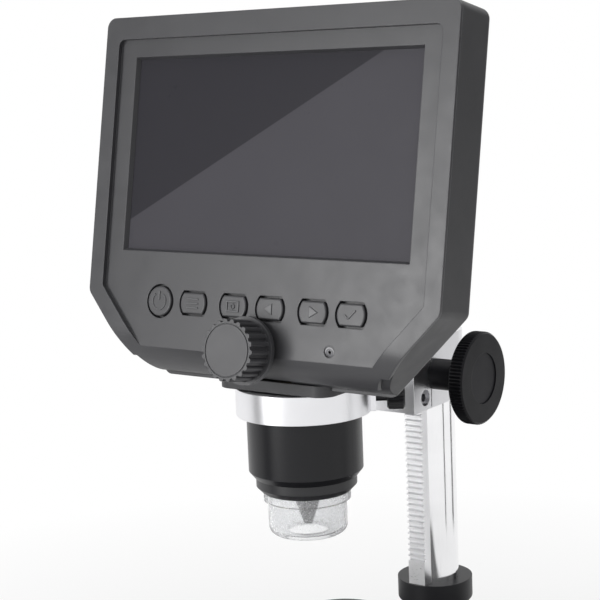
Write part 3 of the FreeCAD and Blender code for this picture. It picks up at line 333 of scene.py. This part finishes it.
def screen_with_painted_reflection(name):
    """Dark screen glass with a painted reflection: a lighter corner below a slanting line."""
    nodes = Nodes(name)
    dark, light = tuple(colours().screen_dark), tuple(colours().screen_painted_reflection)
    shader = nodes.shader(dark, 0.30)
    shader.inputs["Specular IOR Level"].default_value = 0.05
    start = WINDOW_MIDDLE + ACROSS * PAINTED_REFLECTION_TOP_ACROSS + UP_PANEL * PAINTED_REFLECTION_TOP_UP
    end = WINDOW_MIDDLE + ACROSS * PAINTED_REFLECTION_LOW_ACROSS + UP_PANEL * PAINTED_REFLECTION_LOW_UP
    along = (start - end).normalized()
    square = along.cross(OUT_OF_PANEL)
    offset = nodes.add("ShaderNodeVectorMath", operation="SUBTRACT")
    nodes.join(nodes.place, offset.inputs[0])
    offset.inputs[1].default_value = start
    side = nodes.add("ShaderNodeVectorMath", operation="DOT_PRODUCT")
    nodes.join(offset.outputs["Vector"], side.inputs[0])
    side.inputs[1].default_value = square
    # A soft step across the slanting line: the painted reflection lies on its lighter side.
    edge = nodes.add("ShaderNodeMapRange")
    edge.inputs["From Min"].default_value = -PAINTED_REFLECTION_SOFTNESS
    edge.inputs["From Max"].default_value = PAINTED_REFLECTION_SOFTNESS
    nodes.join(side.outputs["Value"], edge.inputs["Value"])
    clouds = nodes.mix(nodes.spread(nodes.noise(30.0), 0.0, 1.0), light, shade(light, 1.08))
    nodes.join(nodes.mix(edge.outputs["Result"], dark, clouds), shader.inputs["Base Color"])
    nodes.join(nodes.spread(nodes.noise(250.0), 0.27, 0.34), shader.inputs["Roughness"])
    return nodes.material


def frosted_plastic(name):
    """Clear plastic with a lightly frosted face."""
    nodes = Nodes(name)
    shader = nodes.shader((0.96, 0.965, 0.975), 0.25)
    shader.inputs["Transmission Weight"].default_value = 0.80
    shader.inputs["IOR"].default_value = 1.12
    frost = nodes.noise(1.0 / (0.5 * MILLIMETRE), 4.0)
    nodes.join(nodes.spread(frost, 0.18, 0.30), shader.inputs["Roughness"])
    normal = nodes.bump(frost, 0.004 * MILLIMETRE, 0.4, nodes.rounded(0.3 * MILLIMETRE))
    nodes.join(normal, shader.inputs["Normal"])
    return nodes.material


def lens_coating(name):
    """Lens glass with a faint coating."""
    nodes = Nodes(name)
    shader = nodes.shader((0.92, 0.95, 1.0), 0.02)
    shader.inputs["Transmission Weight"].default_value = 1.0
    nodes.join(nodes.spread(nodes.noise(400.0), 0.01, 0.04), shader.inputs["Roughness"])
    return nodes.material


def solder_mask(name, colour):
    """A circuit board with faint tracks under its lacquer."""
    nodes = Nodes(name)
    shader = nodes.shader(colour, 0.35)
    tracks = nodes.add("ShaderNodeTexBrick")
    tracks.inputs["Scale"].default_value = 300.0
    tracks.inputs["Mortar Size"].default_value = 0.03
    tracks.inputs["Color1"].default_value = (*shade(colour, 0.85), 1.0)
    tracks.inputs["Color2"].default_value = (*shade(colour, 1.1), 1.0)
    tracks.inputs["Mortar"].default_value = (*shade(colour, 1.8), 1.0)
    nodes.join(nodes.place, tracks.inputs["Vector"])
    nodes.join(tracks.outputs["Color"], shader.inputs["Base Color"])
    nodes.join(nodes.spread(nodes.noise(120.0), 0.3, 0.42), shader.inputs["Roughness"])
    return nodes.material


def light_pipe(name):
    """The charge light: a pale ring round a dark dot, set in casing plastic."""
    nodes = Nodes(name)
    casing = tuple(colours().casing)
    shader = nodes.shader(casing, 0.3)
    low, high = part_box("charge_light")
    middle = (Vector(low) + Vector(high)) / 2
    offset = nodes.add("ShaderNodeVectorMath", operation="SUBTRACT")
    nodes.join(nodes.place, offset.inputs[0])
    offset.inputs[1].default_value = middle
    flat = nodes.add("ShaderNodeVectorMath", operation="MULTIPLY")
    nodes.join(offset.outputs["Vector"], flat.inputs[0])
    flat.inputs[1].default_value = (1.0, 0.0, 1.0)
    far = nodes.add("ShaderNodeVectorMath", operation="LENGTH")
    nodes.join(flat.outputs["Vector"], far.inputs[0])
    rim = nodes.add("ShaderNodeValToRGB")
    rim.color_ramp.elements[0].position = 0.0
    rim.color_ramp.elements[0].color = (0.005, 0.005, 0.005, 1.0)
    rim.color_ramp.elements[1].position = 1.0
    rim.color_ramp.elements[1].color = (*casing, 1.0)
    for position, colour in CHARGE_LIGHT_RINGS:
        element = rim.color_ramp.elements.new(position)
        element.color = (*colour, 1.0)
    reach = nodes.add("ShaderNodeMapRange")
    reach.inputs["From Max"].default_value = CHARGE_LIGHT_RADIUS
    nodes.join(far.outputs["Value"], reach.inputs["Value"])
    nodes.join(reach.outputs["Result"], rim.inputs["Fac"])
    nodes.join(rim.outputs["Color"], shader.inputs["Base Color"])
    nodes.join(nodes.spread(nodes.noise(600.0), 0.26, 0.36), shader.inputs["Roughness"])
    return nodes.material


def dress(material, *names):
    """Give CAD nodes a material."""
    for name in names:
        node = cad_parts[name]
        if not node.material_slots:
            node.data.materials.append(material)
        for slot in node.material_slots:
            slot.material = material


# Modelling helpers


def deselect():
    """Select nothing, so that what comes next is worked on alone."""
    bpy.ops.object.select_all(action="DESELECT")


def end_piece(piece, name, material, body):
    """Name a finished piece, apply its place, and let it ride on its body."""
    piece.name = name
    piece.data.name = name
    deselect()
    piece.select_set(True)
    bpy.context.view_layer.objects.active = piece
    bpy.ops.object.transform_apply(location=True, rotation=True, scale=True)
    piece.data.materials.clear()
    piece.data.materials.append(material)
    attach(piece, body)


def soften(piece, width, segments=2):
    """Round a piece's edges with an applied bevel."""
    modifier = piece.modifiers.new("edges", "BEVEL")
    modifier.width = width
    modifier.segments = segments
    modifier.limit_method = "ANGLE"
    bpy.context.view_layer.objects.active = piece
    bpy.ops.object.modifier_apply(modifier=modifier.name)


def merge(pieces):
    """Join several objects into the first."""
    deselect()
    for piece in pieces:
        piece.select_set(True)
    bpy.context.view_layer.objects.active = pieces[0]
    bpy.ops.object.join()
    return pieces[0]


def panel_matrix(point):
    """A place on the panel: x across, y up the panel, z out of it."""
    turn = Matrix((ACROSS, UP_PANEL, OUT_OF_PANEL)).transposed().to_4x4()
    return Matrix.Translation(point) @ turn


def face_middle(node_name):
    """The middle of a button's face."""
    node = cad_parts[node_name]
    points = [vertex.co for vertex in node.data.vertices]
    reach_out = max(point.dot(OUT_OF_PANEL) for point in points)
    ups = [point.dot(UP_PANEL) for point in points]
    across = [point.x for point in points]
    middle_up = (min(ups) + max(ups)) / 2
    middle_across = (min(across) + max(across)) / 2
    return ACROSS * middle_across + UP_PANEL * middle_up + OUT_OF_PANEL * reach_out


def bar(width, height, depth, x=0.0, y=0.0, turn=0.0):
    """A flat bar on the working plane with softened edges."""
    deselect()
    bpy.ops.mesh.primitive_cube_add(size=1.0, location=(x, y, 0.0), rotation=(0.0, 0.0, turn))
    piece = bpy.context.object
    piece.scale = (width, height, depth * 2)
    bpy.ops.object.transform_apply(location=True, rotation=True, scale=True)
    soften(piece, depth * 0.6)
    return piece


def hoop(radius, stroke, depth, gap=0.0):
    """A flat ring on the working plane, open at the top where a gap is given as an angle."""
    deselect()
    bpy.ops.mesh.primitive_torus_add(
        major_radius=radius, minor_radius=stroke / 2, major_segments=40, minor_segments=8)
    piece = bpy.context.object
    piece.scale = (1.0, 1.0, depth * 2 / stroke)
    bpy.ops.object.transform_apply(location=True, rotation=True, scale=True)
    if gap > 0.0:
        bpy.ops.object.mode_set(mode="EDIT")
        bpy.ops.mesh.select_all(action="DESELECT")
        bpy.ops.object.mode_set(mode="OBJECT")
        for vertex in piece.data.vertices:
            angle = abs(math.atan2(vertex.co.x, vertex.co.y))
            vertex.select = angle < gap / 2
        bpy.ops.object.mode_set(mode="EDIT")
        bpy.ops.mesh.delete(type="VERT")
        bpy.ops.mesh.select_all(action="DESELECT")
        bpy.ops.mesh.select_non_manifold()
        bpy.ops.mesh.fill_holes(sides=0)
        bpy.ops.object.mode_set(mode="OBJECT")
    return piece


def arrow(size, depth, turn):
    """A triangle on the working plane that points along the turn."""
    deselect()
    bpy.ops.mesh.primitive_cylinder_add(
        vertices=3, radius=size, depth=depth * 2, rotation=(0.0, 0.0, turn - math.pi / 2))
    piece = bpy.context.object
    bpy.ops.object.transform_apply(location=True, rotation=True, scale=True)
    soften(piece, depth * 0.6)
    return piece


def power_symbol(stroke, high):
    ring = hoop(POWER_RING_RADIUS, stroke, high, POWER_RING_GAP)
    return [ring, bar(stroke, POWER_BAR_LENGTH, high, 0.0, POWER_BAR_RISE)]


def menu_symbol(stroke, high):
    return [bar(MENU_BAR_LENGTH, stroke, high, 0.0, MENU_BAR_STEP * row) for row in (-1, 0, 1)]


def mode_symbol(stroke, high):
    level = [bar(MODE_FRAME_WIDTH, stroke, high, 0.0, MODE_FRAME_RISE * side) for side in (-1, 1)]
    upright = [bar(stroke, MODE_SIDE_LENGTH, high, MODE_SIDE_OFFSET * side) for side in (-1, 1)]
    return level + upright + [hoop(MODE_RING_RADIUS, stroke * MODE_RING_STROKE_SHARE, high)]


def left_symbol(stroke, high):
    return [arrow(ARROW_RADIUS, high, math.pi)]


def right_symbol(stroke, high):
    return [arrow(ARROW_RADIUS, high, 0.0)]


def ok_symbol(stroke, high):
    pieces = []
    for (length, across, up), turn in ((TICK_SHORT, -TICK_TURN), (TICK_LONG, TICK_TURN)):
        pieces.append(bar(length, stroke, high, across, up, turn))
    return pieces


SYMBOLS = {
    "power_button": power_symbol,
    "menu_button": menu_symbol,
    "mode_button": mode_symbol,
    "left_button": left_symbol,
    "right_button": right_symbol,
    "ok_button": ok_symbol,
}


# Stage helpers


def seen_by(tree):
    """1 for the rays that show the background: camera, glossy and transmission."""
    path = tree.nodes.new("ShaderNodeLightPath")
    total = path.outputs["Is Camera Ray"]
    for ray in ("Is Glossy Ray", "Is Transmission Ray"):
        most = tree.nodes.new("ShaderNodeMath")
        most.operation = "MAXIMUM"
        tree.links.new(total, most.inputs[0])
        tree.links.new(path.outputs[ray], most.inputs[1])
        total = most.outputs["Value"]
    return total


def around(angle, distance, height):
    """A place round the object, by its angle from the right-hand side."""
    turn = math.radians(angle)
    return (distance * math.cos(turn), distance * math.sin(turn), height)


# Operators


class MICROSCOPE_OT_stand(Operator):
    """Finish the base, foot, column and rack"""

    bl_idname = "microscope.stand"
    bl_label = "Stand"

    def execute(self, context):
        enamel = moulded_plastic(
            "base_enamel", (0.020, 0.020, 0.022), 0.42, grain=0.8, depth=0.02, edge=0.5, edge_lightening=0.15)
        dress(enamel, "base_plate")
        rubber = moulded_plastic(
            "sole_rubber", (0.022, 0.022, 0.022), 0.85, grain=0.5, depth=0.04, edge=0.2, edge_lightening=0.1)
        dress(rubber, "base_pad")
        dress(black_anodised("foot_black", tuple(colours().black_metal), 0.40, edge=0.3), "column_foot")
        plating = machined_metal(
            "column_plating", tuple(colours().bright_metal), 0.10,
            lay=(1.0, 1.0, 0.05), mark=0.5, depth=0.001)
        dress(plating, "column_tube")
        rack = machined_metal(
            "rack_metal", (0.86, 0.86, 0.87), 0.30, lay=(0.2, 1.0, 1.0), mark=0.2, depth=0.003, edge=0.05)
        dress(rack, "rack_bar")
        dress(moulded_plastic("cap_plastic", tuple(colours().knobs), 0.5), "column_cap")
        dress(machined_metal("bolt_zinc", (0.6, 0.6, 0.62), 0.35), "foot_bolt")
        return {"FINISHED"}


class MICROSCOPE_OT_carriage(Operator):
    """Finish the carriage, its ring and arm, and their screws"""

    bl_idname = "microscope.carriage"
    bl_label = "Carriage"

    def execute(self, context):
        satin = machined_metal(
            "carriage_satin", (0.80, 0.80, 0.82), 0.30, lay=(1.0, 1.0, 6.0), depth=0.004, edge=0.25)
        dress(satin, "carriage_body", "carriage_block")
        ring = machined_metal(
            "ring_satin", (0.84, 0.84, 0.86), 0.30, lay=(0.6, 0.6, 12.0), mark=0.22, depth=0.003, edge=0.25)
        dress(ring, "clamp_ring")
        dress(machined_metal("screw_steel", (0.38, 0.38, 0.40), 0.34), "arm_screws", "side_screws")
        return {"FINISHED"}


class MICROSCOPE_OT_height_drive(Operator):
    """Finish the height knob and its bush, both brass shafts and the thumb screw"""

    bl_idname = "microscope.height_drive"
    bl_label = "Height drive"

    def execute(self, context):
        plastic = moulded_plastic(
            "knob_black", tuple(colours().knobs), 0.36,
            grain=0.25, depth=0.006, edge=0.15, edge_lightening=0.5, shine=0.15)
        dress(plastic, "height_knob", "pinion_bush")
        disc = moulded_plastic(
            "knob_disc_black", (0.014, 0.014, 0.017), 0.40,
            grain=0.3, depth=0.004, edge=0.1, edge_lightening=0.2, shine=0.15)
        dress(disc, "knob_disc")
        dress(machined_metal("pinion_brass", (0.70, 0.52, 0.24), 0.3), "pinion_shaft", "focus_shaft")
        dress(black_anodised("thumb_black", tuple(colours().black_metal), 0.32, edge=0.12), "thumb_screw")
        return {"FINISHED"}


class MICROSCOPE_OT_casing(Operator):
    """Finish the casing's shells and the screws of the back"""

    bl_idname = "microscope.casing"
    bl_label = "Casing"

    def execute(self, context):
        colour = tuple(colours().casing)
        front = moulded_plastic("case_front", colour, 0.36, grain=0.45, depth=0.010, edge=0.35, edge_lightening=0.75)
        dress(front, "front_bezel")
        # The back shell, with the side walls, is a darker copy of the casing colour: painted shade.
        back = moulded_plastic(
            "case_back_painted_shade", shade(colour, 0.8), 0.46, grain=0.45, depth=0.012, edge=0.4, edge_lightening=0.25)
        dress(back, "rear_cover", "rear_housing")
        dress(machined_metal("cover_screw_steel", (0.30, 0.30, 0.31), 0.35), "cover_screws")
        return {"FINISHED"}


class MICROSCOPE_OT_screen(Operator):
    """Finish the screen and what lies behind it"""

    bl_idname = "microscope.screen"
    bl_label = "Screen"

    def execute(self, context):
        # The screen glass carries the painted reflection.
        dress(screen_with_painted_reflection("screen_glass_painted_reflection"), "screen_glass")
        black = moulded_plastic("panel_black", (0.02, 0.02, 0.022), 0.3)
        dress(black, "lcd_panel", "image_sensor", "tact_switches")
        dress(machined_metal("tray_metal", (0.6, 0.6, 0.6), 0.35), "lcd_frame", "usb_socket", "card_socket")
        dress(moulded_plastic("socket_black", (0.02, 0.02, 0.02), 0.4), "power_socket")
        dress(solder_mask("board_green", (0.02, 0.16, 0.07)), "main_board", "button_board", "camera_board")
        dress(moulded_plastic("cell_wrap", (0.35, 0.37, 0.42), 0.3), "battery")
        return {"FINISHED"}


class MICROSCOPE_OT_buttons(Operator):
    """Finish the buttons and add their raised symbols"""

    bl_idname = "microscope.buttons"
    bl_label = "Buttons"

    def execute(self, context):
        button = moulded_plastic(
            "button_grey_painted_highlight", (0.050, 0.050, 0.054), 0.36, grain=0.3, depth=0.008, edge=0.25, edge_lightening=0.55)
        dress(button, *BUTTONS)
        # The raised symbols are lighter than the buttons: painted highlight.
        symbol = moulded_plastic(
            "symbol_grey_painted_highlight", (0.10, 0.10, 0.105), 0.34, grain=0.3, depth=0.005, edge=0.08, edge_lightening=0.7)
        for name in BUTTONS:
            strokes = SYMBOLS[name](sizes().symbol_stroke, sizes().symbol_height)
            piece = merge(strokes) if len(strokes) > 1 else strokes[0]
            piece.matrix_world = panel_matrix(face_middle(name))
            end_piece(piece, name.replace("button", "symbol"), symbol, name + "_key")
        dress(light_pipe("light_pipe_grey"), "charge_light")
        return {"FINISHED"}


class MICROSCOPE_OT_focus_knob(Operator):
    """Finish the focus knob and its drive"""

    bl_idname = "microscope.focus_knob"
    bl_label = "Focus knob"

    def execute(self, context):
        grey = moulded_plastic(
            "focus_knob_grey", (0.050, 0.050, 0.054), 0.38, depth=0.008, edge=0.22, edge_lightening=0.6)
        dress(grey, "focus_knob")
        dress(machined_metal("bush_brass", (0.70, 0.52, 0.24), 0.3), "focus_bush", "focus_rack")
        return {"FINISHED"}


class MICROSCOPE_OT_barrel(Operator):
    """Finish the barrel, its nose, lenses and lamps"""

    bl_idname = "microscope.barrel"
    bl_label = "Barrel"

    def execute(self, context):
        dress(black_anodised("barrel_black", tuple(colours().black_metal), 0.30, edge=0.3), "lens_barrel")
        ring = moulded_plastic(
            "nose_ring_black", (0.014, 0.014, 0.016), 0.38, grain=0.3, depth=0.004, edge=0.3, edge_lightening=0.3)
        dress(ring, "nose_ring")
        dress(black_anodised("carrier_black", (0.015, 0.015, 0.017), 0.45), "lens_carrier", "lens_nose")
        dress(lens_coating("lens_coated"), "front_lens", "rear_lens")
        dress(solder_mask("board_white", (0.55, 0.55, 0.54)), "lamp_board")
        dress(moulded_plastic("lamp_resin", (0.85, 0.80, 0.45), 0.2), "lamps")
        dress(frosted_plastic("cap_frosted"), "clear_cap")
        return {"FINISHED"}


class MICROSCOPE_OT_stage(Operator):
    """Make the floor, the backdrop light, the lamps and the camera"""

    bl_idname = "microscope.stage"
    bl_label = "Stage"

    def execute(self, context):
        self.floor()
        self.world()
        self.lamps()
        self.cards()
        self.camera()
        bpy.context.scene.view_settings.view_transform = "Standard"
        return {"FINISHED"}

    def floor(self):
        deselect()
        reach = sizes().floor_reach
        bpy.ops.mesh.primitive_plane_add(size=2 * reach, location=(0.0, 0.0, -FLOOR_DROP))
        floor = bpy.context.object
        floor.name = "floor"
        nodes = Nodes("floor_pale")
        shader = nodes.shader(tuple(colours().floor), 0.6)
        glow = nodes.add("ShaderNodeEmission")
        glow.inputs["Color"].default_value = (1.0, 1.0, 1.0, 1.0)
        glow.inputs["Strength"].default_value = 1.0
        far = nodes.add("ShaderNodeVectorMath", operation="LENGTH")
        nodes.join(nodes.place, far.inputs[0])
        white = nodes.add("ShaderNodeMapRange")
        white.inputs["From Min"].default_value = FLOOR_FADE_START
        white.inputs["From Max"].default_value = FLOOR_FADE_END
        white.inputs["To Min"].default_value = FLOOR_WHITE_NEAR
        nodes.join(far.outputs["Value"], white.inputs["Value"])
        share = nodes.add("ShaderNodeMath", operation="MULTIPLY")
        nodes.join(seen_by(nodes.tree), share.inputs[0])
        nodes.join(white.outputs["Result"], share.inputs[1])
        blend = nodes.add("ShaderNodeMixShader")
        nodes.join(share.outputs["Value"], blend.inputs["Fac"])
        nodes.join(shader.outputs["BSDF"], blend.inputs[1])
        nodes.join(glow.outputs["Emission"], blend.inputs[2])
        nodes.join(blend.outputs["Shader"], nodes.output.inputs["Surface"])
        floor.data.materials.append(nodes.material)

    def world(self):
        world = bpy.data.worlds.new("studio")
        bpy.context.scene.world = world
        world.use_nodes = True
        tree = world.node_tree
        tree.nodes.clear()
        output = tree.nodes.new("ShaderNodeOutputWorld")
        strength = tree.nodes.new("ShaderNodeMapRange")
        strength.inputs["To Min"].default_value = BACKDROP_LIGHT
        strength.inputs["To Max"].default_value = 1.0
        tree.links.new(seen_by(tree), strength.inputs["Value"])
        background = tree.nodes.new("ShaderNodeBackground")
        background.inputs["Color"].default_value = (1.0, 1.0, 1.0, 1.0)
        tree.links.new(strength.outputs["Result"], background.inputs["Strength"])
        tree.links.new(background.outputs["Background"], output.inputs["Surface"])

    def lamp(self, name, place, width, height, watts):
        """An area lamp that faces the middle of the object."""
        data = bpy.data.lights.new(name, "AREA")
        data.shape = "RECTANGLE"
        data.size = width
        data.size_y = height
        data.energy = watts
        lamp = bpy.data.objects.new(name, data)
        bpy.context.scene.collection.objects.link(lamp)
        lamp.location = place
        lamp.rotation_euler = (Vector(LAMP_AIM) - Vector(place)).to_track_quat("-Z", "Y").to_euler()

    def lamps(self):
        self.lamp("key_softbox", around(-112, 1.0, 0.22), width=0.36, height=0.56, watts=5.8)
        self.lamp("top_softbox", (0.05, 0.05, 0.95), width=0.8, height=0.8, watts=2.8)

    def cards(self):
        """Dark cards that only reflections see, for the bands in metal and the shade on plastic."""
        nodes = Nodes("card_grey")
        nodes.shader(CARD_COLOUR, 0.9)
        for name, start, end, distance, low, high in CARDS:
            deselect()
            middle = (start + end) / 2
            width = 2 * distance * math.tan(math.radians(end - start) / 2)
            bpy.ops.mesh.primitive_plane_add(size=1.0)
            card = bpy.context.object
            card.name = name
            card.scale = (width, high - low, 1.0)
            card.rotation_euler = (math.radians(90), 0.0, math.radians(middle + 90))
            card.location = Vector(around(middle, distance, (low + high) / 2)) + COLUMN_MIDDLE
            card.data.materials.append(nodes.material)
            card.visible_camera = False
            card.visible_diffuse = False
            card.visible_shadow = False
            card.visible_transmission = False

    def camera(self):
        data = bpy.data.cameras.new("camera")
        data.lens = sizes().lens
        data.sensor_width = SENSOR_WIDTH
        camera = bpy.data.objects.new("camera", data)
        bpy.context.scene.collection.objects.link(camera)
        camera.location = CAMERA_PLACE
        camera.rotation_euler = tuple(math.radians(angle) for angle in CAMERA_ANGLES)
        bpy.context.scene.camera = camera


class MICROSCOPE_PT_panel(Panel):
    """Lists the microscope's pieces in the sidebar"""

    bl_idname = "MICROSCOPE_PT_panel"
    bl_label = "LCD Digital Microscope"
    bl_space_type = "VIEW_3D"
    bl_region_type = "UI"
    bl_category = "Microscope"

    def draw(self, context):
        for group in (context.scene.microscope_sizes, context.scene.microscope_colours):
            for name in group.__annotations__:
                self.layout.prop(group, name)
        for operator in OPERATORS:
            self.layout.operator(operator.bl_idname)


OPERATORS = (
    MICROSCOPE_OT_stand,
    MICROSCOPE_OT_carriage,
    MICROSCOPE_OT_height_drive,
    MICROSCOPE_OT_casing,
    MICROSCOPE_OT_screen,
    MICROSCOPE_OT_buttons,
    MICROSCOPE_OT_focus_knob,
    MICROSCOPE_OT_barrel,
    MICROSCOPE_OT_stage,
)
CLASSES = (MicroscopeSizes, MicroscopeColours) + OPERATORS + (MICROSCOPE_PT_panel,)


def register():
    for item in CLASSES:
        bpy.utils.register_class(item)
    bpy.types.Scene.microscope_sizes = PointerProperty(type=MicroscopeSizes)
    bpy.types.Scene.microscope_colours = PointerProperty(type=MicroscopeColours)


def unregister():
    del bpy.types.Scene.microscope_colours
    del bpy.types.Scene.microscope_sizes
    for item in reversed(CLASSES):
        bpy.utils.unregister_class(item)


def main():
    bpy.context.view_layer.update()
    register()
    for operator in OPERATORS:
        group, name = operator.bl_idname.split(".")
        getattr(getattr(bpy.ops, group), name)()
    bpy.context.view_layer.update()


if __name__ == "__main__":
    main()
